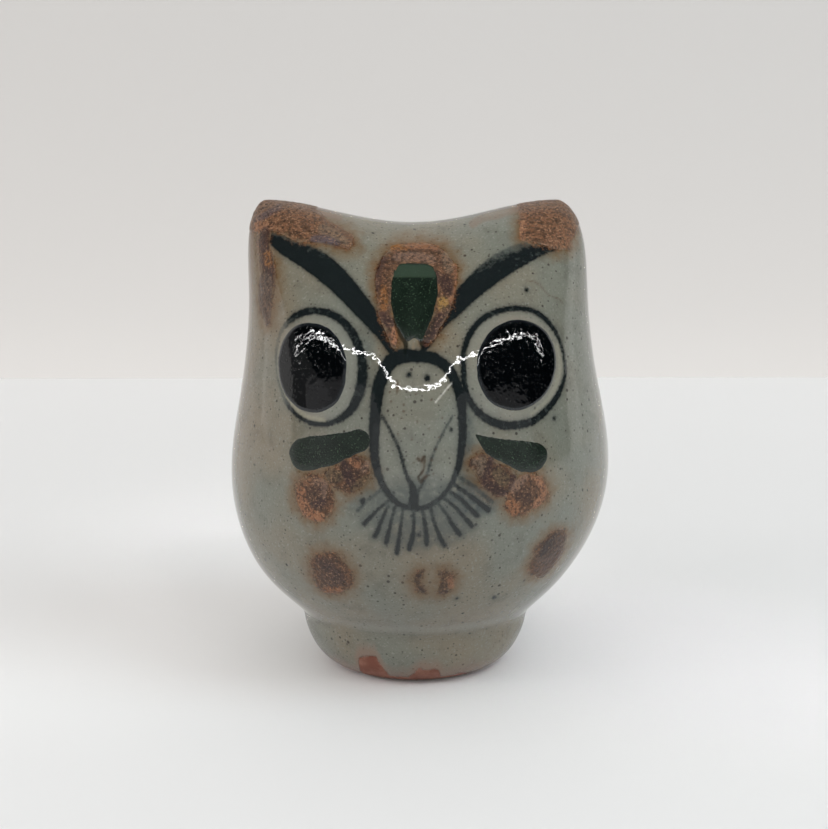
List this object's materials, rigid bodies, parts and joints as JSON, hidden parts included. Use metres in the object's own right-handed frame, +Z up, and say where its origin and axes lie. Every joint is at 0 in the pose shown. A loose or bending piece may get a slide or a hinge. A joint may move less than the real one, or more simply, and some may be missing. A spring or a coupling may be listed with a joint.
{
  "type": "owl figurine",
  "caption": "Small hollow stoneware owl on a foot ring, grey-green glaze with black pool eyes, dark brush lines, and green and rust patches.",
  "frame": {"origin": "on the surface the owl stands on, under the middle of its overall box", "axes": "+Z up from foot to ears; the owl faces -Y; +X is to the right as seen by somebody facing it"},
  "size_m": [0.0664, 0.0674, 0.0821],
  "materials": {
    "glazed_body": "gloss",
    "bare_clay": "matte",
    "black_pool": "gloss",
    "copper_green": "gloss",
    "iron_rust": "satin, granular"
  },
  "bodies": {
    "root": {"front_shell": "glazed_body", "back_shell": "glazed_body", "floor_slab": "glazed_body", "beak": "glazed_body", "foot_ring": "bare_clay", "left_pupil": "black_pool", "right_pupil": "black_pool", "crest_green": "copper_green", "left_cheek_green": "copper_green", "right_cheek_green": "copper_green", "crest_rust": "iron_rust", "left_ear_rust": "iron_rust", "left_ear_streak": "iron_rust", "right_ear_rust": "iron_rust", "left_cheek_rust": "iron_rust", "left_inner_rust": "iron_rust", "right_cheek_rust": "iron_rust", "right_inner_rust": "iron_rust", "left_belly_rust": "iron_rust", "middle_belly_rust": "iron_rust", "right_belly_rust": "iron_rust"}
  },
  "joints": []
}
